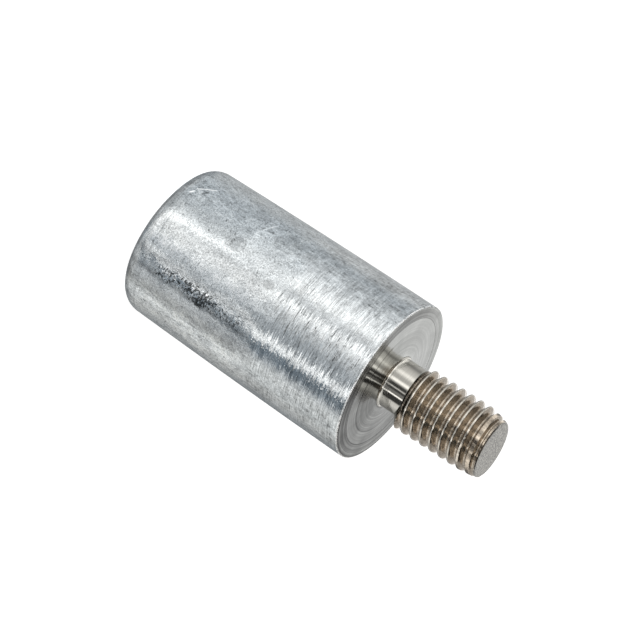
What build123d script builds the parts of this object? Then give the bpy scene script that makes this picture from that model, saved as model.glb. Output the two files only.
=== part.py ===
from build123d import *
import os
from math import ceil, radians, tan

# Sacrificial anode: a cast zinc slug on a threaded steel stud.
# The slug stands on its plain end at z = 0, and the stud rises from its turned face along +Z.
# Sizes are in millimetres.

# Zinc body: cast in a mould with draft towards the plain end, then turned square at the stud end
body_length = 31.4
plain_end_diameter = 18.3
plain_edge_radius = 2.4
face_diameter = 19.5
side_bow = 0.06
face_edge_chamfer = 0.35

# Stud root: the shank that the zinc was cast around, with a milled flat that keys it
root_diameter = 7.1
root_length = 18.0
key_flat_depth = 0.6
key_flat_length = 6.0
key_flat_inset = 4.0

# Neck: turned down beside the face, where the thread runs out
neck_diameter = 6.05
neck_length = 2.55
foot_flare = 0.3

# Thread: M8 x 1.25, right-handed, rolled, with a tapered lead at the tip
thread_diameter = 8.0
thread_pitch = 1.25
crest_shortfall = 0.1
thread_start_length = 0.55
stud_reach = 14.05
tip_taper_length = 2.6
tip_taper_depth = 0.47
tip_edge_chamfer = 0.12

# Thread form: a 60 degree V, which leaves a crest an eighth of the pitch wide
flank_half_angle = 30
groove_mouth_share = 7 / 8

# Radii and heights that follow
face_height = body_length
tip_height = face_height + stud_reach
root_radius = root_diameter / 2
root_bottom = face_height - root_length
neck_radius = neck_diameter / 2
crest_radius = thread_diameter / 2 - crest_shortfall
tip_radius = crest_radius - tip_taper_depth
neck_top = face_height + neck_length
thread_start = neck_top + thread_start_length
taper_start = tip_height - tip_taper_length

# The cast-in root, which the stud is built on and the body's cavity is cut with
with BuildPart() as root_form:
    with BuildSketch(Plane.XY.offset(root_bottom)):
        Circle(root_radius)
    extrude(amount=root_length)
    with BuildSketch(Plane.XY.offset(root_bottom + key_flat_inset)):
        with Locations((root_radius, 0)):
            Rectangle(2 * key_flat_depth, root_diameter)
    extrude(amount=key_flat_length, mode=Mode.SUBTRACT)

# The zinc body: a rounded plain end, a drafted side that bows out a little, and a flat face
with BuildPart() as zinc_body:
    with BuildSketch(Plane.XZ):
        with BuildLine():
            plain_end = Line((0, 0), (plain_end_diameter / 2 - plain_edge_radius, 0))
            rounding = JernArc(plain_end @ 1, plain_end % 1, plain_edge_radius, 90)
            side = SagittaArc(rounding @ 1, (face_diameter / 2, face_height), -side_bow)
            face = Line(side @ 1, (0, face_height))
            Line(face @ 1, plain_end @ 0)
        make_face()
    revolve(axis=Axis.Z)
    face_rim = zinc_body.edges().filter_by(GeomType.CIRCLE).sort_by(Axis.Z)[-1]
    chamfer(face_rim, face_edge_chamfer)
    add(root_form.part, mode=Mode.SUBTRACT)

# The stud: root and neck, then a blank for the thread
with BuildPart() as threaded_stud:
    add(root_form.part)
    with BuildSketch(Plane.XZ):
        with BuildLine():
            Polyline(
                (0, face_height),
                (neck_radius + foot_flare, face_height),
                (neck_radius, face_height + foot_flare),
                (neck_radius, neck_top),
                (crest_radius, thread_start),
                (crest_radius, taper_start),
                (tip_radius, tip_height - tip_edge_chamfer),
                (tip_radius - tip_edge_chamfer, tip_height),
                (0, tip_height),
                close=True,
            )
        make_face()
    revolve(axis=Axis.Z)

    # Helical groove, cut one turn at a time: it starts over the neck and runs out past the tip
    mouth_radius = thread_diameter / 2
    mouth_width = thread_pitch * groove_mouth_share
    groove_depth = mouth_width / 2 / tan(radians(flank_half_angle))
    groove_start = neck_top - thread_pitch
    groove_turns = ceil((tip_height - groove_start) / thread_pitch) + 1
    for turn in range(groove_turns):
        turn_start = groove_start + turn * thread_pitch
        with BuildLine() as groove_path:
            Helix(
                pitch=thread_pitch,
                height=thread_pitch,
                radius=mouth_radius,
                center=(0, 0, turn_start),
            )
        with BuildSketch(Plane.XZ):
            with BuildLine():
                Polyline(
                    (mouth_radius - groove_depth, turn_start),
                    (mouth_radius, turn_start - mouth_width / 2),
                    (mouth_radius, turn_start + mouth_width / 2),
                    close=True,
                )
            make_face()
        sweep(path=groove_path.line, is_frenet=True, mode=Mode.SUBTRACT)

zinc_body.part.label = "zinc_body"
threaded_stud.part.label = "threaded_stud"
os.makedirs("parts", exist_ok=True)
export_step(zinc_body.part, "parts/zinc_body.step")
export_step(threaded_stud.part, "parts/threaded_stud.step")
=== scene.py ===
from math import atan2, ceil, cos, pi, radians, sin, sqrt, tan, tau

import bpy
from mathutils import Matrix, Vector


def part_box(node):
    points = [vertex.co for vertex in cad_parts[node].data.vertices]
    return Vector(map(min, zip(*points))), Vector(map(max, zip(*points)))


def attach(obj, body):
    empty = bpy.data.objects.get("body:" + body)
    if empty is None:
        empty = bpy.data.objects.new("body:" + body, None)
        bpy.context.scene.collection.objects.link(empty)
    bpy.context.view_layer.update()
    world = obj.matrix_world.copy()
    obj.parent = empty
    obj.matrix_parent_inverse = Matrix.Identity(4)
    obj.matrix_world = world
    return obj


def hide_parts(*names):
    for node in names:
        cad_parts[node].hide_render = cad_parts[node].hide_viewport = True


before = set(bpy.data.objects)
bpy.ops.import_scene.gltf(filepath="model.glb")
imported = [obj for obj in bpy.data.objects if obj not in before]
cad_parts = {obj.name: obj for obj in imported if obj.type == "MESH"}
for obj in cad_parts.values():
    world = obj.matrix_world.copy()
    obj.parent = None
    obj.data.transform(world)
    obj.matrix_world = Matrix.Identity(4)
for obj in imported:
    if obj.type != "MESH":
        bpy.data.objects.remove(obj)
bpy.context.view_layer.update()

# %% [markdown]
# # A sacrificial anode
# A short zinc slug is cast around a steel stud, and the stud is screwed into an engine or a hull.
# The zinc corrodes away in place of the metal around it. The slug stands here on its plain end,
# with the stud pointing up along Z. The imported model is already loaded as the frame, and every
# size below is either read from it or named once.

MM = 0.001
body_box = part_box("zinc_body")
stud_low, stud_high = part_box("threaded_stud")
face_height = body_box[1].z
tip_height = stud_high.z
root_bottom = stud_low.z
crest_radius = stud_high.x
print(f"face at {face_height / MM:.1f} mm, tip at {tip_height / MM:.2f} mm")

# %% [markdown]
# ## The camera
# The anode is seen slightly from above its turned face, and the camera is rolled, so that the stud
# points down to the right. A camera looks along its own -Z, so its three axes are worked out from
# two angles: how far the view leans from the anode's axis, and how the axis slopes in the picture.

# %% Camera
VIEW_LEAN = radians(71.7)
AXIS_SLOPE = radians(34.0)
CAMERA_DISTANCE = 0.6983
LENS_MM = 358.4
AIM = Vector((-1.46 * MM, 0, 20.11 * MM))

towards_camera = Vector((0, -sin(VIEW_LEAN), cos(VIEW_LEAN)))
axis_in_view = Vector((0, cos(VIEW_LEAN), sin(VIEW_LEAN)))
across_in_view = Vector((1, 0, 0))
camera_right = cos(AXIS_SLOPE) * axis_in_view - sin(AXIS_SLOPE) * across_in_view
camera_up = -sin(AXIS_SLOPE) * axis_in_view - cos(AXIS_SLOPE) * across_in_view

camera_data = bpy.data.cameras.new("camera")
camera_data.lens = LENS_MM
camera_data.clip_end = 20
camera = bpy.data.objects.new("camera", camera_data)
bpy.context.scene.collection.objects.link(camera)
camera_turn = Matrix((camera_right, camera_up, towards_camera)).transposed().to_4x4()
camera_place = Matrix.Translation(AIM + CAMERA_DISTANCE * towards_camera)
camera.matrix_world = camera_place @ camera_turn
bpy.context.scene.camera = camera
bpy.context.scene.view_settings.view_transform = "Standard"
print("camera at", [round(v, 3) for v in camera.location])

# %% [markdown]
# ## Writing shader sums as Python
# A material is a tree of nodes, and a sum takes one Math node for each operator. This small class
# wraps a socket, so that `1 - mask * 0.5` adds those nodes by itself. `node` adds any other node:
# it takes the type, the settings, and the values or links of the sockets.


# %% Node helper
class Wire:
    """One output socket of a node tree. Sums on it add Math nodes to the tree."""

    def __init__(self, tree, socket=None):
        self.tree = tree
        self.socket = socket

    def node(self, kind, settings=None, inputs=None, output=0):
        """Adds a node, sets and links it, and returns one of its outputs."""
        made = self.tree.nodes.new(kind)
        for name, value in (settings or {}).items():
            setattr(made, name, value)
        for name, value in (inputs or {}).items():
            if isinstance(value, Wire):
                self.tree.links.new(value.socket, made.inputs[name])
            else:
                made.inputs[name].default_value = value
        return Wire(self.tree, made.outputs[output] if made.outputs else None)

    def math(self, operation, *values, clamp=False):
        """Adds a Math node."""
        settings = {"operation": operation, "use_clamp": clamp}
        return self.node("ShaderNodeMath", settings, dict(enumerate(values)))

    def __add__(self, other):
        return self.math("ADD", self, other)

    def __radd__(self, other):
        return self.math("ADD", other, self)

    def __sub__(self, other):
        return self.math("SUBTRACT", self, other)

    def __rsub__(self, other):
        return self.math("SUBTRACT", other, self)

    def __mul__(self, other):
        return self.math("MULTIPLY", self, other)

    def __rmul__(self, other):
        return self.math("MULTIPLY", other, self)

    def __truediv__(self, other):
        return self.math("DIVIDE", self, other)

    def __abs__(self):
        return self.math("ABSOLUTE", self)

    def clamped(self):
        """The same value, kept from 0 to 1."""
        return self.math("ADD", self, 0.0, clamp=True)

    def root(self):
        """The square root."""
        return self.math("SQRT", self)

    def steps(self, low, high):
        """Rises from 0 at low to 1 at high, smoothly."""
        settings = {"interpolation_type": "SMOOTHSTEP"}
        return self.node("ShaderNodeMapRange", settings, {0: self, 1: low, 2: high})

    def graph(self, stops):
        """Straight lines through (place, value) stops, as a sum of ramps."""
        level = stops[0][1]
        for (low, before), (high, after) in zip(stops, stops[1:]):
            if after != before:
                share = ((self - low) / (high - low)).clamped()
                level = share * (after - before) + level
        return level

    def tint(self, colour):
        """A colour that is this many times as bright."""
        channels = {i: self * colour[i] for i in range(3)}
        return self.node("ShaderNodeCombineColor", inputs=channels)

    def parts(self):
        """The X, Y and Z of a vector."""
        split = self.tree.nodes.new("ShaderNodeSeparateXYZ")
        self.tree.links.new(self.socket, split.inputs[0])
        return [Wire(self.tree, output) for output in split.outputs]

    def blend(self, first, second):
        """A colour between two, with this wire as the factor."""
        settings = {"data_type": "RGBA"}
        return self.node("ShaderNodeMix", settings, {0: self, 6: first, 7: second}, output=2)


def azimuth_of(x, y):
    """Degrees round the Z axis, from the camera's side towards +X."""
    return x.math("ARCTAN2", x, 0 - y) * (180 / pi)


print("node helper ready")

# %% [markdown]
# ## The light
# Bright metal shows its surroundings, so the studio is what gives it its look. Lamps would leave
# small hard glints on it. So the light is drawn in the world's shader, by compass direction: soft
# panels stand round the anode with dark gaps between them, and a dim warm ceiling hangs over it.
# The slug's upright side mirrors what lies about 18 degrees below the horizon. The steel's shading
# is tilted up by 3 degrees, so it mirrors what lies 12 degrees below. Each has its own ring of panels.

# %% Panels and cards
# What stands round the anode at each azimuth, and how bright it is. The bright stops are soft panels
# and the near-black ones are cards. This is the upper ring, which the steel mirrors.
UPPER_PANELS = [
    (-180, 0.35),
    (-130, 0.45),
    (-112, 0.30),
    (-104, 0.30),
    (-86, 0.65),
    (-64, 0.90),
    (-54, 1.35),
    (-48, 1.40),
    (-36, 0.75),
    (-30, 0.62),
    (-21, 0.66),
    (-13, 1.60),
    (-8, 1.65),
    (-1, 0.45),
    (4, 0.06),
    (11, 0.06),
    (14, 0.10),
    (16.5, 0.75),
    (19, 0.75),
    (21.5, 0.08),
    (28, 0.05),
    (32, 0.25),
    (43, 0.25),
    (45, 1.80),
    (48.5, 1.80),
    (51, 0.05),
    (73, 0.05),
    (80, 0.86),
    (98, 0.96),
    (120, 0.50),
    (150, 0.18),
    (180, 0.35),
]
# The lower ring, which the slug mirrors, is softer.
LOWER_PANELS = [
    (-180, 0.50),
    (-150, 0.58),
    (-130, 0.68),
    (-113, 0.62),
    (-104, 0.54),
    (-94, 0.66),
    (-84, 0.75),
    (-73, 0.80),
    (-66, 0.94),
    (-59, 1.22),
    (-50, 1.20),
    (-43, 1.68),
    (-36, 1.68),
    (-31, 1.20),
    (-26, 0.86),
    (-20, 0.86),
    (-13, 1.36),
    (-6, 1.60),
    (-2, 1.20),
    (3, 0.79),
    (8, 0.77),
    (11, 0.92),
    (16, 0.77),
    (20, 0.49),
    (25, 0.49),
    (28, 0.60),
    (32, 0.48),
    (39.5, 0.48),
    (43.5, 1.55),
    (50, 1.58),
    (53, 0.20),
    (67, 0.26),
    (73, 0.50),
    (79, 0.78),
    (88, 0.86),
    (110, 0.75),
    (128, 0.62),
    (146, 0.40),
    (165, 0.28),
    (180, 0.22),
]
print("stops in the upper and lower ring:", len(UPPER_PANELS), len(LOWER_PANELS))

# %% [markdown]
# The rings are joined to a table below, a bright line at eye height, a pale backdrop behind and a
# ceiling above. The height of a direction, dz, says which of them is met: it is -1 straight down,
# 0 at eye height and 1 straight up. The camera alone sees plain white, so the metal mirrors the
# studio and not that white.

# %% Sizes and strengths in the studio
HIGH_GAIN = 0.4
HORIZON = (1.60, 1.60, 1.60, 1)
TABLE_DEEP = 0.80
TABLE_FAR = 0.28
COOLNESS = 0.05
LOW_PANEL = (1.7, 1.7, 1.7, 1)
LOW_PANEL_AT = (-0.16, -0.52, -0.84)
BACKDROP = (0.85, 0.85, 0.85, 1)
CEILING = 0.05
CEILING_PANEL = 0.16
CEILING_PANEL_AT = (-0.12, 0.24, 0.96)
FRONT_CEILING = 0.40
WARM = (1.0, 0.84, 0.68, 1)
WHITE = (1, 1, 1, 1)
print("strengths: far table", TABLE_FAR, "and backdrop", BACKDROP[0])

# %% The rings of panels
world = bpy.data.worlds.new("studio")
bpy.context.scene.world = world
world.use_nodes = True
world.node_tree.nodes.clear()
sky = Wire(world.node_tree)
direction = sky.node("ShaderNodeTexCoord")
dx, dy, dz = direction.parts()
azimuth = azimuth_of(dx, dy)

# The upper ring is a little brighter above eye height.
upper_light = (azimuth.graph(UPPER_PANELS) * (1 + dz.steps(0.1, 0.2) * HIGH_GAIN)).tint((1, 1, 1))

# The lower ring fades down the table, and its shadows are cool, least so behind and far below.
lower = azimuth.graph(LOWER_PANELS) * (TABLE_DEEP + (1 - TABLE_DEEP) * dz.steps(-1.0, -0.5))
far_table = dy.steps(0.42, 0.68) * (1 - dz.steps(-0.50, -0.39))
lower = lower + (TABLE_FAR - lower) * far_table
coolness = COOLNESS - dy.steps(0.25, 0.65) * 0.022 - (1 - dz.steps(-0.75, -0.55)) * 0.015
cool_shadows = {0: lower * 1.03 - coolness, 1: lower, 2: lower * 0.96 + coolness}
lower_light = sky.node("ShaderNodeCombineColor", inputs=cool_shadows)
around = dz.steps(-0.29, -0.23).blend(lower_light, upper_light)
print("nodes in the rings:", len(world.node_tree.nodes))


# %% What lies over the rings
def away_from(centre):
    """How far a direction is from a panel's centre."""
    inputs = {0: direction, 1: centre}
    return sky.node("ShaderNodeVectorMath", {"operation": "DISTANCE"}, inputs, output=1)


# A round panel low in front, a bright line at eye height and the backdrop lie over the rings.
with_low_panel = away_from(LOW_PANEL_AT).steps(0.16, 0.28).blend(LOW_PANEL, around)
on_horizon = dz.steps(-0.10, -0.05) * (1 - dz.steps(0.05, 0.10))
with_horizon = on_horizon.blend(with_low_panel, HORIZON)
backdrop = dy.steps(0.2, 0.7) * dz.steps(0.05, 0.2) * (1 - dx.steps(0.20, 0.50) * 0.6)
low_view = backdrop.blend(with_horizon, BACKDROP)

# The ceiling is brighter near one panel and towards the front, apart from a dark strip there.
ceiling = CEILING + (1 - away_from(CEILING_PANEL_AT).steps(0.15, 0.55)) * CEILING_PANEL
dark_strip = azimuth.steps(-10, 0) * (1 - azimuth.steps(55, 70))
ceiling = ceiling + (1 - dy.steps(-0.40, -0.10)) * (1 - dark_strip) * FRONT_CEILING
studio = dz.steps(0.60, 0.70).blend(low_view, ceiling.tint(WARM))

seen_by_camera = sky.node("ShaderNodeLightPath")
shown = seen_by_camera.blend(studio, WHITE)
light = sky.node("ShaderNodeBackground", inputs={0: shown})
sky.node("ShaderNodeOutputWorld", inputs={0: light})
print("studio nodes:", len(world.node_tree.nodes))

# %% [markdown]
# ## The floor
# The floor is pale and plain. Most of its white is its own glow, and the rest is matt paint, which
# the anode darkens where it stands. Only the camera sees the floor: it is clear to every other ray,
# so that it neither lights the anode from below nor hides the table that the metal mirrors.

# %% Floor
FLOOR_SIZE = 6.0
FLOOR_GLOW = 0.80
FLOOR_PAINT = (0.8, 0.8, 0.8, 1)
bpy.ops.object.select_all(action="DESELECT")
bpy.ops.mesh.primitive_plane_add(size=FLOOR_SIZE, location=(0, 0, 0))
floor = bpy.context.object
floor.name = "floor"
floor_paint = bpy.data.materials.new("floor_paint")
floor_paint.use_nodes = True
floor_paint.node_tree.nodes.clear()
paint = Wire(floor_paint.node_tree)
glow = paint.node("ShaderNodeEmission", inputs={0: WHITE, 1: FLOOR_GLOW})
matt = paint.node("ShaderNodeBsdfDiffuse", inputs={0: FLOOR_PAINT})
clear = paint.node("ShaderNodeBsdfTransparent")
lit_paint = paint.node("ShaderNodeAddShader", inputs={0: glow, 1: matt})
by_camera = paint.node("ShaderNodeLightPath")
surface = paint.node("ShaderNodeMixShader", inputs={0: by_camera, 1: clear, 2: lit_paint})
paint.node("ShaderNodeOutputMaterial", inputs={0: surface})
floor.data.materials.append(floor_paint)
print("floor:", FLOOR_SIZE, "m square")

# %% [markdown]
# ## Turning a piece on the lathe
# Both pieces are round, so each starts as a half outline: one point is drawn out into a chain of
# points, step by step. Spinning that chain once round the Z axis gives the slug, and winding it up
# the axis gives the thread. This way each radius of a piece is simply one point of its outline.


# %% Modelling helpers
def draw_outline(name, points):
    """Starts a piece as a chain of points in the XZ plane, drawn out one after another."""
    bpy.ops.object.select_all(action="DESELECT")
    first = Vector((points[0][0], 0, points[0][1]))
    bpy.ops.mesh.primitive_plane_add(size=MM, location=(0, 0, 0))
    piece = bpy.context.object
    piece.name = name
    piece.data.name = name
    bpy.ops.object.mode_set(mode="EDIT")
    bpy.ops.mesh.merge(type="CENTER")
    bpy.ops.transform.translate(value=first)
    for (r0, z0), (r1, z1) in zip(points, points[1:]):
        step = (r1 - r0, 0, z1 - z0)
        bpy.ops.mesh.extrude_vertices_move(TRANSFORM_OT_translate={"value": step})
    bpy.ops.object.mode_set(mode="OBJECT")
    return piece


def arc(centre_r, centre_z, radius, start, end, steps):
    """Points along an arc, with its angles in degrees from the outward direction."""
    angles = [radians(start + (end - start) * i / steps) for i in range(steps + 1)]
    return [(centre_r + radius * cos(a), centre_z + radius * sin(a)) for a in angles]


def report_mesh(piece):
    """Says how large a piece's mesh is and how high it reaches."""
    top = max(vertex.co.z for vertex in piece.data.vertices) / MM
    points, faces = len(piece.data.vertices), len(piece.data.polygons)
    print(f"{piece.name}: {points} points, {faces} faces, top at {top:.2f} mm")


# %% [markdown]
# ## The zinc body
# On the real anode the slug is poured into a mould round the stud. Its side tapers, so that it comes
# out of the mould, and bows out a little. The plain end keeps the mould's round edge, and the face
# is turned flat afterwards, with a sharp rim. A cone with a bevel would lack the bow and the hole
# for the stud, so the whole section is drawn and spun.

# %% Sizes of the slug
PLAIN_END_RADIUS = 9.15 * MM
PLAIN_EDGE_RADIUS = 2.4 * MM
FACE_RADIUS = 9.71 * MM
FACE_EDGE_RADIUS = 0.14 * MM
SIDE_BOW = 0.08 * MM
ROOT_RADIUS = 3.55 * MM
HOLE_RADIUS = 3.20 * MM
LIP_DEPTH = 0.5 * MM
JOINT_EDGE = 0.03 * MM
PLAIN_EDGE_STEPS = 14
FACE_EDGE_STEPS = 6
SIDE_RINGS = 100
FACE_RINGS = 40
BODY_STEPS = 256

side_low = PLAIN_EDGE_RADIUS
side_high = face_height - FACE_EDGE_RADIUS
print(f"the slug's side runs from {side_low / MM:.2f} to {side_high / MM:.2f} mm up")

# %% Outline of the slug
plain_edge_centre = (PLAIN_END_RADIUS - PLAIN_EDGE_RADIUS, side_low)
face_edge_centre = (FACE_RADIUS - FACE_EDGE_RADIUS, side_high)
body_outline = [(0, 0), (2 * MM, 0), (4 * MM, 0)]
body_outline += arc(*plain_edge_centre, PLAIN_EDGE_RADIUS, -90, 0, PLAIN_EDGE_STEPS)
for i in range(1, SIDE_RINGS):
    share = i / SIDE_RINGS
    radius = PLAIN_END_RADIUS + share * (FACE_RADIUS - PLAIN_END_RADIUS)
    bow = SIDE_BOW * 4 * share * (1 - share)
    body_outline.append((radius + bow, side_low + share * (side_high - side_low)))
body_outline += arc(*face_edge_centre, FACE_EDGE_RADIUS, 0, 90, FACE_EDGE_STEPS)
face_inner = HOLE_RADIUS + JOINT_EDGE
for i in range(1, FACE_RINGS + 1):
    share = i / FACE_RINGS
    radius = (1 - share) * (FACE_RADIUS - FACE_EDGE_RADIUS) + share * face_inner
    body_outline.append((radius, face_height))
body_outline.append((HOLE_RADIUS, face_height - JOINT_EDGE))
body_outline.append((HOLE_RADIUS, face_height - LIP_DEPTH))
body_outline.append((ROOT_RADIUS, face_height - LIP_DEPTH))
body_outline.append((ROOT_RADIUS, root_bottom))
body_outline.append((0, root_bottom))
print("the slug's outline:", len(body_outline), "points")

# %% Spinning the slug
MERGE_WITHIN = 0.001 * MM
BODY_SMOOTH_BELOW = radians(40)

body = draw_outline("cast_zinc_body", body_outline)
bpy.ops.object.mode_set(mode="EDIT")
bpy.ops.mesh.select_all(action="SELECT")
bpy.ops.mesh.spin(steps=BODY_STEPS, angle=tau, center=(0, 0, 0), axis=(0, 0, 1))
bpy.ops.mesh.select_all(action="SELECT")
bpy.ops.mesh.remove_doubles(threshold=MERGE_WITHIN)
bpy.ops.mesh.normals_make_consistent(inside=False)
bpy.ops.object.mode_set(mode="OBJECT")
bpy.ops.object.shade_smooth_by_angle(angle=BODY_SMOOTH_BELOW)
report_mesh(body)

# %% [markdown]
# A real casting isn't quite true. The face was turned a degree out of square and swells round the
# stud, the hole is off centre, and the rounding of the plain end is larger on one side. No one
# operator makes such small faults together, so the mesh's own points are moved, each by its place.

# %% Body out of true
FACE_LEAN = radians(1.2)
FACE_LEAN_FORWARD = radians(1.39)
FACE_DROP = 0.106 * MM
FACE_DOME = 0.34 * MM
DOME_RADIUS = 7.0 * MM
DOME_POWER = 1.3
LEAN_DEPTH = 4 * MM
NECK_OFFSET = -0.33 * MM
EDGE_CUT = 0.45 * MM
EDGE_GROWTH = 0.1 * MM
EDGE_CUT_FROM = Vector((-0.67, -0.74))
EDGE_REACH = 8 * MM
EDGE_INSIDE = 4.5 * MM
for vertex in body.data.vertices:
    x, y, z = vertex.co
    radius = sqrt(x * x + y * y)
    if z > face_height - LEAN_DEPTH and radius > HOLE_RADIUS - JOINT_EDGE / 2:
        share = (z - (face_height - LEAN_DEPTH)) / LEAN_DEPTH
        lean = x * tan(FACE_LEAN) + y * tan(FACE_LEAN_FORWARD) - FACE_DROP
        vertex.co.z += lean * share * share
        if z > face_height - 2 * JOINT_EDGE:
            in_dome = max(0, 1 - (radius - HOLE_RADIUS) / (DOME_RADIUS - HOLE_RADIUS))
            vertex.co.z += FACE_DOME * in_dome**DOME_POWER
    if z > face_height - 2 * LIP_DEPTH:
        by_hole = max(0, 1 - (radius - HOLE_RADIUS) / (FACE_RADIUS - HOLE_RADIUS))
        vertex.co.x += NECK_OFFSET * by_hole
    if radius > EDGE_INSIDE and z < EDGE_REACH:
        towards_cut = max(0, (x * EDGE_CUT_FROM.x + y * EDGE_CUT_FROM.y) / radius)
        extra = EDGE_CUT * towards_cut**4 - EDGE_GROWTH
        up = min(1, z / PLAIN_EDGE_RADIUS)
        fade = 1 - max(0, (z - PLAIN_EDGE_RADIUS) / (EDGE_REACH - PLAIN_EDGE_RADIUS))
        inward = 1 - sqrt(max(0, 1 - (1 - up) ** 2))
        scale = 1 - extra * inward / radius
        vertex.co.x *= scale
        vertex.co.y *= scale
        vertex.co.z += extra * up * fade
report_mesh(body)

# %% [markdown]
# ## The stud
# The real stud is a steel rod with a rolled M8 thread, and its neck is turned down where it leaves
# the zinc. Its thread is one groove that winds up the rod. A stack of rings would not join up, so one
# pitch of the outline is drawn and wound up the axis with a Screw modifier.

# %% Sizes of the stud
THREAD_PITCH = 1.25 * MM
THREAD_RADIUS = 4.0 * MM
GROOVE_DEPTH = 0.6134 * THREAD_PITCH
ROOT_FLAT = 0.25 * MM
CREST_WIDTH = 0.33 * MM
CREST_SLOPE = tan(radians(6))
NECK_RADIUS = 3.02 * MM
NECK_LENGTH = 2.35 * MM
START_RISE = 0.93 * MM
GROOVE_OFFSET = 2.53 * MM
THREAD_STEPS = 192
FLANK_POINTS = 7
CORNER_ROUNDS = 2

neck_top = face_height + NECK_LENGTH
thread_start = neck_top + START_RISE
groove_root = THREAD_RADIUS - GROOVE_DEPTH
print(f"the thread starts {thread_start / MM:.2f} mm up, its groove is {GROOVE_DEPTH / MM:.2f} mm deep")


# %% Outline of one pitch
def thread_outline(start):
    """One pitch of the thread's outline, from groove to groove, as (radius, height) points."""
    rise = (THREAD_PITCH - ROOT_FLAT - CREST_WIDTH) / 2
    crest = ROOT_FLAT / 2 + rise
    corners = [
        (groove_root, 0),
        (groove_root, ROOT_FLAT / 2),
        (crest_radius - 0.06 * MM, crest),
        (crest_radius, crest + 0.07 * MM),
        (crest_radius - 0.17 * MM * CREST_SLOPE, crest + 0.24 * MM),
        (crest_radius - 0.11 * MM, crest + CREST_WIDTH),
        (groove_root, THREAD_PITCH - ROOT_FLAT / 2),
        (groove_root, THREAD_PITCH),
    ]
    points = [(corners[0][0], start)]
    for (r0, z0), (r1, z1) in zip(corners, corners[1:]):
        steps = max(3, round(FLANK_POINTS * abs(r1 - r0) / (crest_radius - groove_root)))
        for i in range(1, steps + 1):
            share = i / steps
            points.append((r0 + share * (r1 - r0), start + z0 + share * (z1 - z0)))
    return points


def smoothed(points, rounds):
    """The same points with each corner eased between its neighbours."""
    for _ in range(rounds):
        middle = [
            ((a[0] + 2 * b[0] + c[0]) / 4, b[1])
            for a, b, c in zip(points, points[1:], points[2:])
        ]
        points = [points[0]] + middle + [points[-1]]
    return points


# A groove's centre passes +X at this offset above the face, so a whole pitch starts there.
first_turn = face_height + GROOVE_OFFSET - 2 * THREAD_PITCH
pitch_outline = smoothed(thread_outline(first_turn), CORNER_ROUNDS)
print("one pitch of the thread:", len(pitch_outline), "points")

# %% Winding the thread
turns = ceil((tip_height - first_turn) / THREAD_PITCH) + 1
stud = draw_outline("threaded_steel_stud", pitch_outline)
screw = stud.modifiers.new("thread", "SCREW")
screw.angle = tau
screw.screw_offset = THREAD_PITCH
screw.iterations = turns
screw.steps = THREAD_STEPS
screw.render_steps = THREAD_STEPS
screw.use_merge_vertices = True
screw.merge_threshold = MERGE_WITHIN
bpy.ops.object.modifier_apply(modifier=screw.name)
print("turns of the thread:", turns)

# %% [markdown]
# A real thread is rolled on a blank: a rod that is thin at the neck, thickens over the thread's
# slanting start, and tapers at the tip. Cutting the thread with such a solid would tear its fine
# faces. So every point that stands outside the blank is drawn in to its surface.

# %% Holding the thread inside the blank
START_FALL_FROM = 0.85
TIP_TAPER_LENGTH = 2.6 * MM
TIP_TAPER_DEPTH = 0.47 * MM
TIP_EDGE_RADIUS = 0.2 * MM


def neck_end(turned):
    """The height at which the neck ends, at a share of a turn from +X on round."""
    if turned > START_FALL_FROM:
        turned = START_FALL_FROM * (1 - turned) / (1 - START_FALL_FROM)
    return neck_top + START_RISE * turned


def blank_radius(z, turned=0.0):
    """The radius of the stud's blank at a height, and at a share of a turn from +X on round."""
    taper = TIP_TAPER_DEPTH * max(0, (z - (tip_height - TIP_TAPER_LENGTH)) / TIP_TAPER_LENGTH)
    radius = crest_radius - taper
    radius = min(radius, NECK_RADIUS + max(0, z - neck_end(turned)))
    edge = z - (tip_height - TIP_EDGE_RADIUS)
    if edge > 0:
        radius -= TIP_EDGE_RADIUS - sqrt(max(0, TIP_EDGE_RADIUS**2 - edge**2))
    return radius


for vertex in stud.data.vertices:
    x, y, z = vertex.co
    radius = sqrt(x * x + y * y)
    limit = blank_radius(min(z, tip_height), (atan2(y, x) / tau) % 1)
    if radius > limit:
        vertex.co.x *= limit / radius
        vertex.co.y *= limit / radius
report_mesh(stud)

# %% [markdown]
# The wound thread is open at both ends. At the tip it is cut square and closed with a flat face made
# of rings. In the neck it is cut again, and the open rim is drawn down over the small fillet at the
# foot and on to the wider root, which the zinc holds.

# %% Tip
TIP_FACE_RINGS = (0.93, 0.8, 0.6, 0.4, 0.2, 0.05)
HAIR = 0.0001 * MM
bpy.ops.object.mode_set(mode="EDIT")
bpy.ops.mesh.select_all(action="SELECT")
bpy.ops.mesh.remove_doubles(threshold=MERGE_WITHIN)


def draw_rim(rim, radius, height):
    """Draws the open rim that is selected on to a new radius and height."""
    scale = radius / rim[0]
    move = (0, 0, height - rim[1])
    bpy.ops.mesh.extrude_region_move(TRANSFORM_OT_translate={"value": move})
    bpy.ops.transform.resize(value=(scale, scale, 1), center_override=(0, 0, height))
    return radius, height


def cut_square(height, **clear):
    """Cuts the selected mesh square to its axis, and leaves only the cut's rim selected."""
    bpy.ops.mesh.select_all(action="SELECT")
    bpy.ops.mesh.bisect(plane_co=(0, 0, height), plane_no=(0, 0, 1), threshold=HAIR, **clear)


cut_square(tip_height, clear_outer=True)
rim = (blank_radius(tip_height), tip_height)
for share in TIP_FACE_RINGS:
    rim = draw_rim(rim, blank_radius(tip_height) * share, tip_height)
bpy.ops.mesh.merge(type="COLLAPSE")
print(f"tip closed, {2 * blank_radius(tip_height) / MM:.2f} mm across")

# %% Neck, foot and root
FOOT_FILLET = 0.22 * MM
FOOT_RISE = 0.235 * MM
FOOT_END_ANGLE = 256
FOOT_STEPS = 10
NECK_KEPT = 0.25 * MM
STUD_SMOOTH_BELOW = radians(35)

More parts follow.
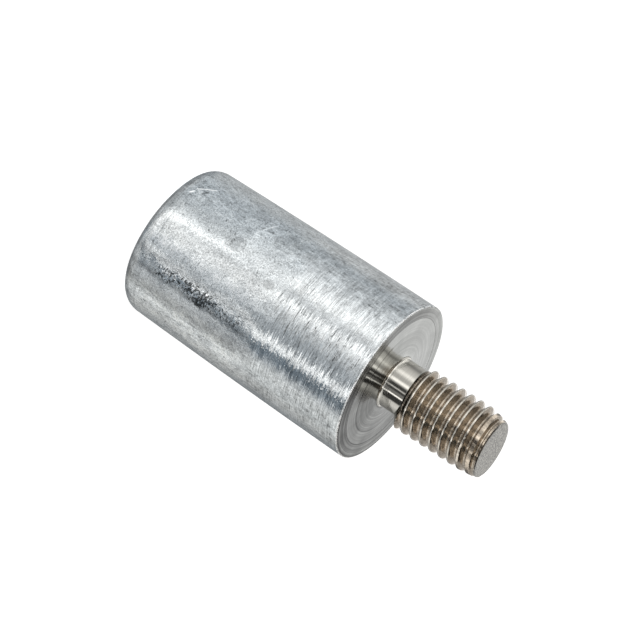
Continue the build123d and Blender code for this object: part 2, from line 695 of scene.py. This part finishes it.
cut_height = neck_top - NECK_KEPT
cut_square(cut_height, clear_inner=True)
rim = (blank_radius(cut_height), cut_height)
fillet_centre = (NECK_RADIUS + FOOT_FILLET, face_height + FOOT_RISE + FOOT_FILLET)
foot = arc(*fillet_centre, FOOT_FILLET, 180, FOOT_END_ANGLE, FOOT_STEPS)
for radius, height in foot:
    rim = draw_rim(rim, radius, height)
rim = draw_rim(rim, foot[-1][0], face_height - LIP_DEPTH)
rim = draw_rim(rim, ROOT_RADIUS, face_height - LIP_DEPTH)
rim = draw_rim(rim, ROOT_RADIUS, root_bottom)
bpy.ops.mesh.edge_face_add()
bpy.ops.mesh.select_all(action="SELECT")
bpy.ops.mesh.normals_make_consistent(inside=False)
bpy.ops.object.mode_set(mode="OBJECT")
bpy.ops.object.shade_smooth_by_angle(angle=STUD_SMOOTH_BELOW)
report_mesh(stud)

# %% [markdown]
# The stud isn't quite true either. Its neck was turned a third of a millimetre off centre, the
# threaded length leans by a degree, and the tip was cut a few degrees out of square. The foot
# follows the leaning face. The stud's points are moved by their height, as the slug's were.

# %% Stud out of true
STUD_LEAN = radians(1.1)
TIP_LEAN = radians(2.6)
TIP_CUT = 0.18 * MM
TIP_CUT_DEPTH = 1.2 * MM
TIP_SHIFT = 0.19 * MM
NECK_RETURN = 0.6 * MM
for vertex in stud.data.vertices:
    x, y, z = vertex.co
    if z > face_height - 2 * LIP_DEPTH:
        end = neck_end((atan2(y, x) / tau) % 1)
        beside_thread = min(1, max(0, 1 - (z - end) / NECK_RETURN))
        above = max(0, z - thread_start)
        in_taper = max(0, (z - (tip_height - TIP_TAPER_LENGTH)) / TIP_TAPER_LENGTH)
        by_tip = max(0, (z - (tip_height - TIP_CUT_DEPTH)) / TIP_CUT_DEPTH)
        vertex.co.x += NECK_OFFSET * beside_thread - tan(STUD_LEAN) * above + TIP_SHIFT * in_taper
        vertex.co.z += x * tan(STUD_LEAN) * min(1, above / THREAD_PITCH)
        by_foot = max(0, 1 - (z - face_height) / NECK_LENGTH)
        vertex.co.z += (x * tan(FACE_LEAN) + y * tan(FACE_LEAN_FORWARD)) * by_foot
        vertex.co.z += (x * tan(TIP_LEAN) - TIP_CUT) * by_tip
report_mesh(stud)

# %% [markdown]
# ## Patterns for the materials
# Every pattern is read in millimetres from the anode's own coordinates, so a grain of 0.3 is 0.3 mm
# across. Stretching the coordinates makes streaks: a small factor along an axis draws them long.
# Bare metal mirrors its surroundings in its own tint. So each finish is fully metallic, and its
# Base Color is that tint times a shade.

# %% Starting a material, and its noises
METRES_TO_MM = (1000, 1000, 1000)


def start_material(name):
    """A new bare metal: the material, its place in mm as a wire, and its Principled shader."""
    made = bpy.data.materials.new(name)
    made.use_nodes = True
    start = Wire(made.node_tree)
    shader = made.node_tree.nodes["Principled BSDF"]
    shader.inputs["Metallic"].default_value = 1
    scaling = {0: start.node("ShaderNodeTexCoord", output=3), 1: METRES_TO_MM}
    place = start.node("ShaderNodeVectorMath", {"operation": "MULTIPLY"}, scaling)
    return made, place, shader


def noise(place, grain, detail=3.0, roughness=0.55, stretch=(1, 1, 1), shift=0.0, distortion=0.0):
    """Noise with a grain size in mm, from about 0.2 to 0.8."""
    scale = tuple(s / grain for s in stretch)
    start = (shift, shift * 0.7, shift * 1.3)
    moving = {0: place, 1: scale, 2: start}
    moved = place.node("ShaderNodeVectorMath", {"operation": "MULTIPLY_ADD"}, moving)
    inputs = {"Vector": moved, "Scale": 1, "Detail": detail}
    inputs.update({"Roughness": roughness, "Distortion": distortion})
    return place.node("ShaderNodeTexNoise", inputs=inputs)


def along_one_line(value):
    """A place for noise that changes with one value only."""
    return value.node("ShaderNodeCombineXYZ", inputs={0: value})


print("noise helpers ready, in units of", MM, "m")


# %% Shapes of marks
def window(value, low, high, soft):
    """1 between two limits, with soft ends."""
    return value.steps(low - soft, low + soft) * (1 - value.steps(high - soft, high + soft))


def from_spot(across, up, centre, reach):
    """How far a point is from a spot's centre, as a share of the spot's reach."""
    a = (across - centre[0]) / reach[0]
    b = (up - centre[1]) / reach[1]
    return (a * a + b * b).root()


SCRATCH_END = 0.15


def scratch(across, up, start, end, width):
    """A thin straight mark between two places, soft at its ends."""
    length = sqrt((end[0] - start[0]) ** 2 + (end[1] - start[1]) ** 2)
    step_across = (end[0] - start[0]) / length
    step_up = (end[1] - start[1]) / length
    forward = (across - start[0]) * step_across + (up - start[1]) * step_up
    aside = abs((across - start[0]) * step_up - (up - start[1]) * step_across)
    return (1 - aside.steps(width * 0.4, width)) * window(forward, 0, length, SCRATCH_END)


print("mark helpers ready")


# %% Joining patterns to the shader
def bump(height, depth, under=None):
    """Turns a height from 0 to 1 into a relief that is so many mm deep."""
    inputs = {"Height": height, "Distance": depth * MM, "Strength": 1.0}
    if under is not None:
        inputs["Normal"] = under
    return height.node("ShaderNodeBump", inputs=inputs)


def link(wire, shader, socket):
    """Joins a wire to one of the shader's sockets."""
    wire.tree.links.new(wire.socket, shader.inputs[socket])


def report(material):
    """Says how large a finished material's tree is."""
    print(material.name, "has", len(material.node_tree.nodes), "nodes")


print("shader helpers ready")


# %% [markdown]
# ## The cast zinc
# The far half is as it came out of the mould, mottled and pitted. The half by the face was rubbed
# round in a lathe, so that its fine scratches run round it. Both are one material, because they
# fade into each other along a wavy line. A pattern is placed by its azimuth, `facing`, in degrees
# from the camera's side towards +X, and by its height z.

# %% Where the zinc is cast and where it is rubbed
SIDE_RADIUS = 9.4
RUBBED_FROM = 15.8
RUBBED_BY = 19.8

cast_zinc, place, shader = start_material("cast_zinc")
x, y, z = place.parts()
facing = azimuth_of(x, y)
along = facing * (SIDE_RADIUS * pi / 180)
wavy = noise(place, 2.5, 3, shift=4.0) - 0.5
rubbed = (z + wavy * 9.0).steps(RUBBED_FROM, RUBBED_BY)
cast = 1 - rubbed
top_side = 1 - facing.steps(-37, -27)
low_side = facing.steps(34, 46)
print(f"rubbed from about {(RUBBED_FROM + RUBBED_BY) / 2:.1f} mm up")

# %% [markdown]
# Scratches from a lathe run round, so their noise is squeezed along Z. One noise is too even for
# them: fine streaks, teeth at the edges of the reflections and single strokes are kept apart, and
# each gets its own strength. The cast skin gets lumps, grain and a fine grain instead.

# %% Streaks, lumps and ticks
streak_fine = noise(place, 1.0, 3, 0.7, stretch=(0.5, 0.5, 9.5), shift=1.0) - 0.5
streak_teeth = noise(place, 1.0, 2, 0.6, stretch=(0.9, 0.9, 6.0), shift=2.0) - 0.5
streak_broad = noise(place, 1.0, 2, 0.5, stretch=(0.15, 0.15, 1.2), shift=3.0) - 0.5

strokes = noise(place, 1.0, 2, 0.55, stretch=(0.8, 0.8, 5.5), shift=16.0, distortion=0.3)
stroke_strength = (rubbed * 0.85 + 0.15) * (0.35 + window(facing, -8, 17, 5) * 1.05)
dark_strokes = strokes.steps(0.56, 0.66) * stroke_strength
light_strokes = (1 - strokes.steps(0.34, 0.44)) * stroke_strength

ticks = noise(place, 0.32, 2, 0.5, stretch=(1, 1, 0.6), shift=17.0)
dark_ticks = ticks.steps(0.57, 0.65) * (top_side + low_side)
light_ticks = (1 - ticks.steps(0.34, 0.42)) * (top_side + low_side)

lumps = noise(place, 3.2, 3, 0.55, shift=5.0, distortion=0.6) - 0.5
grain = noise(place, 0.8, 4, 0.62, shift=6.0) - 0.5
fine_grain = noise(place, 0.24, 3, 0.6, shift=7.0) - 0.5
mottle = noise(place, 1.7, 4, 0.6, shift=8.0, distortion=0.8) - 0.5
broad = noise(place, 5.5, 2, 0.5, shift=13.0) - 0.5
speckle = noise(place, 0.17, 3, 0.7, shift=9.0) - 0.5
rings_round = noise(place, 1.0, 3, 0.6, stretch=(0.06, 0.06, 6.0), shift=14.0) - 0.5
dragged = noise(place, 1.0, 4, 0.6, stretch=(1.6, 1.6, 0.45), shift=15.0) - 0.5
report(cast_zinc)

# %% [markdown]
# The cast skin also has marks of its own: three bright scratches and a gouge, a line of pits along
# its lower side, a ring left by a bubble, and two stains. Each is drawn at its place on the side, in
# millimetres along it and up. Pits of this size would take far too many faces, so they are colour:
# their darkness is partly their own and partly painted shade inside them. Painted glints lie
# between them.

# %% Marks
bright_scratches = scratch(along, z, (-6.48, 2.48), (-7.90, 4.25), 0.13)
bright_scratches = bright_scratches + scratch(along, z, (-5.49, 2.12), (-6.05, 2.50), 0.17)
bright_scratches = bright_scratches + scratch(along, z, (-6.54, 11.63), (-8.65, 12.40), 0.09) * 0.5
gouge = scratch(along, z, (-6.20, 3.35), (-6.94, 3.80), 0.16)

thinning = 1 - (z + wavy * 6).steps(11.5, 13.5) * 0.45
pit_line = window(facing + wavy * 12, 19.0, 30.5, 3.0)
pit_line = pit_line * window(z + wavy * 4, 4.4, 16.6, 1.3) * thinning
clusters = noise(place, 2.1, 2, 0.5, shift=21.0, stretch=(0.7, 0.7, 1)) - 0.5
pit_noise = noise(place, 0.33, 4, 0.74, shift=11.0, stretch=(0.8, 0.8, 1.2))
pit_noise = pit_noise + clusters * 0.30 * pit_line + pit_line * 0.145 - rubbed * 0.04
# The pits' darkness is partly their own colour and partly painted shade inside them.
pits = pit_noise.steps(0.62, 0.66)
# Painted glints: small bright spots between the pits.
painted_sparkles = (noise(place, 0.24, 2, 0.5, shift=12.0) + pit_line * 0.12).steps(0.62, 0.67)
painted_sparkles = painted_sparkles * pit_line * (1 - pits)

from_ring = from_spot(along, z, (-3.31, 10.65), (0.90, 0.90))
ring_mark = window(from_ring, 0.88, 1.04, 0.06) * 0.8 + (1 - from_ring.steps(0.8, 1.0)) * 0.4
from_stain = from_spot(along, z, (-1.45, 16.49), (0.62, 0.75)) + wavy
stain = 1 - from_stain.steps(0.8, 1.05)
from_patch = from_spot(along, z, (-6.9, 15.0), (2.3, 2.0)) + wavy * 2
patch = 1 - from_patch.steps(0.6, 1.1)
report(cast_zinc)

# %% [markdown]
# A reflection is broken up by small tilts of the metal, and a Bump node tilts it too little where
# the relief is shallow. So the shading normal is also swung round Z, by `swing` degrees. The
# section of the cast half isn't a true circle, and its sides face a few degrees further round: the
# two tables say how far at each azimuth.

# %% Which way the zinc faces
TOP_SWING = [(-62, 0), (-38, -8), (-20, -12.5), (-13, -9), (-4, -1), (4, 0)]
LOW_SWING = [(2, 0), (18, 4.5), (34, 4.5), (55, 0)]
top_mask = 1 - (z + wavy * 11.0).steps(9.6, 12.2)
low_mask = 1 - (z + wavy * 7.0).steps(14.0, 18.0)
swing = (facing + wavy * 22).graph(TOP_SWING) * top_mask + facing.graph(LOW_SWING) * low_mask
swing = swing + streak_teeth * (rubbed * 8 + 3) + streak_fine * rubbed * 12 + lumps * cast * 18
swing = swing + (light_strokes - dark_strokes) * 3 + bright_scratches * 14
glints = noise(place, 0.22, 2, 0.6, stretch=(0.6, 0.6, 1.6), shift=18.0).steps(0.58, 0.66)
swing = swing - glints * window(facing, 25, 36, 3) * rubbed * 4.5

true_normal = place.node("ShaderNodeNewGeometry", output=1)
swinging = {"Vector": true_normal, "Angle": swing * (pi / 180)}
swung_normal = place.node("ShaderNodeVectorRotate", {"rotation_type": "Z_AXIS"}, swinging)
relief = bump(grain * (1 - rubbed * 0.75), 0.055, swung_normal)
relief = bump(fine_grain * (1 - rubbed * 0.4), 0.011, relief)
relief = bump(streak_fine * (rubbed * 0.8 + 0.2), 0.007, relief)
link(relief, shader, "Normal")
report(cast_zinc)

# %% [markdown]
# The colour is a shade times a tint. The shade starts at 1 and each pattern moves it. Painted shade
# makes the cast half darker or lighter round its side, which the table gives as (azimuth, share).
# Its tint is a little bluer on the upper side, as painted cool shade, and warmer on the lower side
# and in smudges. The turned rim is left a light, dull line: it is rougher, and its colour is
# lightened as a painted highlight.

# %% Tints, and the painted shade round the cast half at each azimuth
PAINTED_SHADE_ROUND_CAST = [
    (-65, 0.83),
    (-56, 0.93),
    (-36, 0.94),
    (-29, 0.82),
    (-25, 0.74),
    (-20, 0.76),
    (-16, 0.86),
    (-12, 1.04),
    (-7, 0.80),
    (0, 0.82),
    (4, 1.10),
    (8, 1.20),
    (10.5, 1.12),
    (14, 0.92),
    (18, 0.66),
    (22, 0.94),
    (26, 0.84),
    (30, 0.52),
    (33, 0.76),
    (38, 0.62),
    (43, 0.54),
    (47, 0.70),
    (50, 0.94),
    (56, 0.98),
    (70, 0.9),
]
ZINC_TINT = (0.615, 0.632, 0.636)
COOL_SHADE_ZINC_TINT = (0.597, 0.631, 0.648)
WARM_ZINC_TINT = (0.63, 0.635, 0.61)
print("stops round the cast half:", len(PAINTED_SHADE_ROUND_CAST))

# %% Colour of the zinc
shade = 1 + speckle * (2.8 - rubbed * 1.3) + grain * cast * 0.6
shade = shade + mottle * 0.8 + broad * 0.3 + cast * 0.2
shade = shade + (streak_fine * 2.2 + streak_broad * 0.3) * rubbed * (1 - top_side * 0.5)
shade = shade - dark_strokes * 0.40 + light_strokes * 0.32
shade = shade - dark_ticks * 0.30 + light_ticks * 0.26 + dragged * top_side * 1.3
shade = shade + rings_round * (1 - z.steps(2.4, 5.0)) * 1.1
shade = shade + dragged * low_side * (cast * 0.6 + 0.7)
shade = shade * (1 - ring_mark * 0.32) * (1 - stain * 0.30) * (1 - patch * 0.20)
# Painted shade: the cast half is darker or lighter round its side, by the table.
painted_side_shade = 1 + (facing.graph(PAINTED_SHADE_ROUND_CAST) - 1) * cast
shade = shade * painted_side_shade * (1 - pits * 0.82) * (1 - gouge * 0.55)
shade = shade + painted_sparkles * 0.7 + bright_scratches * 0.9

rim_height = (face_height - FACE_DROP) / MM + x * tan(FACE_LEAN) + y * tan(FACE_LEAN_FORWARD)
rim_dull_and_highlight = (z - rim_height).steps(-0.20, -0.10)
# Painted highlight: the rim's colour is lightened.
shade = shade * (1 + rim_dull_and_highlight * 0.55)

smudge = (dragged * 2 + mottle).steps(-0.1, 0.35) * low_side
warmth = low_side * 0.55 + smudge * cast * 0.45 + (mottle + broad) * cast * 0.8
# Painted cool shade: the upper side is tinted bluer.
painted_cool_shade = (cast * 0.7 + 0.3) * (1 - facing.steps(-30, -5))
cool = painted_cool_shade.blend(shade.tint(ZINC_TINT), shade.tint(COOL_SHADE_ZINC_TINT))
warm = shade.tint(WARM_ZINC_TINT)
link(warmth.clamped().blend(cool, warm), shader, "Base Color")
report(cast_zinc)

# %% Roughness of the zinc
roughness = 0.24 - rubbed * 0.12 + (grain + mottle) * 0.2
roughness = roughness + streak_broad * rubbed * 0.15 - painted_sparkles * 0.1 + rim_dull_and_highlight * 0.75
link(roughness.clamped(), shader, "Roughness")
body.data.materials.append(cast_zinc)
report(cast_zinc)

# %% [markdown]
# ## The turned face
# The face was faced off in a lathe: fine rings round the stud, a deeper line near the rim, and a
# shorter one inside it. The noise reads only the distance from the centre, so it makes rings. A
# second noise drags them a little, since real rings aren't even. Painted shade darkens the lower
# half, a little of the upper right, the near part of the border outside the deep line, and the two
# lines. The faces that look up get this material.

# %% Turned zinc
RING_CENTRE_SHIFT = 0.17
FACE_TINT = (0.597, 0.606, 0.588)
LOOKS_UP = 0.97

turned_zinc, place, shader = start_material("turned_zinc")
x, y = place.parts()[:2]
from_centre = ((x + RING_CENTRE_SHIFT) * (x + RING_CENTRE_SHIFT) + y * y).root()
rings = noise(along_one_line(from_centre), 0.20, 3, 0.6, shift=1.0) - 0.5
broad_rings = noise(along_one_line(from_centre), 0.9, 2, 0.6, shift=3.0) - 0.5
drag = noise(place, 2.6, 3, 0.55, shift=2.0) - 0.5
round_face = place.math("ARCTAN2", y, x) * (180 / pi)
deep_ring = window(from_centre, 8.02, 8.16, 0.05)
short_ring = window(from_centre, 6.34, 6.50, 0.05) * window(round_face, -130, 40, 25)
near_neck = 1 - from_centre.steps(3.6, 5.2)
outside = from_centre.steps(8.0, 8.25)
painted_lower_shade = x.steps(-3.5, 3.0)

ring_relief = bump(rings * (0.6 + near_neck), 0.0035)
ring_relief = bump(drag, 0.03, ring_relief)
ring_relief = bump(deep_ring + short_ring * 0.7, -0.012, ring_relief)
link(ring_relief, shader, "Normal")

dulled = 1 - from_spot(x, y, (2.6, -5.2), (1.8, 2.4)).steps(0.4, 1.0)
face_roughness = 0.09 + rings * 0.10 + drag * 0.06 + outside * 0.16 + dulled * 0.16
link(face_roughness.clamped(), shader, "Roughness")

# Painted shade: darker lower half, upper right, near border outside the deep line, and groove lines.
face_shade = 0.86 + rings * (1.0 + drag * 3) + broad_rings * 0.35 + drag * 0.5 - painted_lower_shade * 0.49
face_shade = face_shade - outside * (1 - y.steps(-4, 3)) * (0.46 - painted_lower_shade * 0.20)
face_shade = face_shade - deep_ring * 0.3 - short_ring * 0.25
face_shade = face_shade - y.steps(-1, 6) * (1 - painted_lower_shade) * 0.07
link(face_shade.tint(FACE_TINT), shader, "Base Color")

body.data.materials.append(turned_zinc)
for face in body.data.polygons:
    if face.normal.z > LOOKS_UP and face.center.z > face_height - 1 * MM:
        face.material_index = 1
report(turned_zinc)

# %% [markdown]
# ## The steel
# The stud is one rod, so it has one material with three finishes: the bright turned neck, the rolled
# thread, and the dull sawn tip. Masks tell them apart. The thread's mask begins where the neck ends,
# which climbs round the stud, and the roots are told by their distance from the stud's leaning axis.
# The roots are tinted a dark brown as painted shade, and the thread is darkened with painted shade
# at its start and towards +X.

# %% Where each finish of the steel lies
steel, place, shader = start_material("stainless_steel")
x, y, z = place.parts()
turn_share = place.math("FRACT", place.math("ARCTAN2", y, x) / tau)
neck_mm = NECK_LENGTH / MM
neck_climb = (START_FALL_FROM, neck_mm + START_RISE / MM * START_FALL_FROM)
neck_stop = turn_share.graph([(0, neck_mm), neck_climb, (1, neck_mm)])
past_neck = z - face_height / MM - neck_stop
threaded = past_neck.steps(-0.05, 0.15)
# Painted shade: the thread's start is darkened, least towards +X.
painted_start_shade = threaded * (1 - past_neck.steps(0.35, 0.8)) * (1 - x.steps(1.2, 3.0) * 0.8)

lean_shift = (z - thread_start / MM) * tan(STUD_LEAN)
from_axis = ((x + lean_shift) * (x + lean_shift) + y * y).root()
in_groove = threaded * (1 - from_axis.steps(3.80, 3.95))
tip_mm = tip_height / MM
on_tip = (z - x * tan(STUD_LEAN + TIP_LEAN)).steps(tip_mm - 0.34, tip_mm - 0.26)
on_thread = threaded * (1 - on_tip)
# Painted shade: the thread is darker towards +X.
painted_underside_shade = x.steps(1.5, 3.6) * on_thread
report(steel)

# %% [markdown]
# Fine lines run round the neck and the thread, the thread is scuffed, its roots carry short upright
# lines, and the tip keeps the curved marks of the saw. The normal is raised by about 3 degrees, so
# that the steel mirrors the upper ring of panels, as the part about the light says.

# %% Stainless steel
RAISED = (0, 0, 0.052)
SAW_CENTRE = (6, -2)
BARE_TINT = (0.612, 0.592, 0.54)
GROOVE_SHADE_TINT = (0.40, 0.345, 0.28)

lines = noise(place, 1.0, 3, 0.6, stretch=(0.3, 0.3, 9.0), shift=1.0) - 0.5
scuffs = noise(place, 0.28, 4, 0.65, shift=2.0) - 0.5
hatch = noise(place, 0.5, 2, 0.6, stretch=(2.6, 2.6, 0.5), shift=5.0) - 0.5
saw_x = x - SAW_CENTRE[0]
saw_y = y - SAW_CENTRE[1]
from_saw = (saw_x * saw_x + saw_y * saw_y).root()
tip_marks = noise(along_one_line(from_saw), 0.22, 3, 0.6, shift=3.0) - 0.5

true_normal = place.node("ShaderNodeNewGeometry", output=1)
raising = {0: true_normal, 1: RAISED}
raised = true_normal.node("ShaderNodeVectorMath", {"operation": "ADD"}, raising)
steel_relief = bump(lines * (1 - on_tip), 0.003, raised)
steel_relief = bump(scuffs * on_thread, 0.009, steel_relief)
steel_relief = bump(tip_marks * on_tip, 0.0015, steel_relief)
link(steel_relief, shader, "Normal")

steel_roughness = 0.07 + on_thread * 0.05 + on_tip * 0.16 + scuffs * on_thread * 0.12
link(steel_roughness.clamped(), shader, "Roughness")

steel_shade = 1 + lines * 0.35 * (1 - on_tip) + scuffs * on_thread * 0.5
steel_shade = steel_shade + (tip_marks * 0.6 + scuffs * 0.3) * on_tip
steel_shade = steel_shade + hatch * in_groove * 1.6 - on_tip * 0.47 - painted_start_shade * 0.55
bare_steel = (steel_shade - painted_underside_shade * 0.32).tint(BARE_TINT)
# Painted shade: the roots get a dark brown tint.
shaded_groove_steel = steel_shade.tint(GROOVE_SHADE_TINT)
link((in_groove * (1 - on_tip)).blend(bare_steel, shaded_groove_steel), shader, "Base Color")
stud.data.materials.append(steel)
report(steel)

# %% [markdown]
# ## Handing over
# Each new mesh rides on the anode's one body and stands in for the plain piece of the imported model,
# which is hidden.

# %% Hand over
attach(body, "root")
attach(stud, "root")
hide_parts("zinc_body")
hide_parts("threaded_stud")
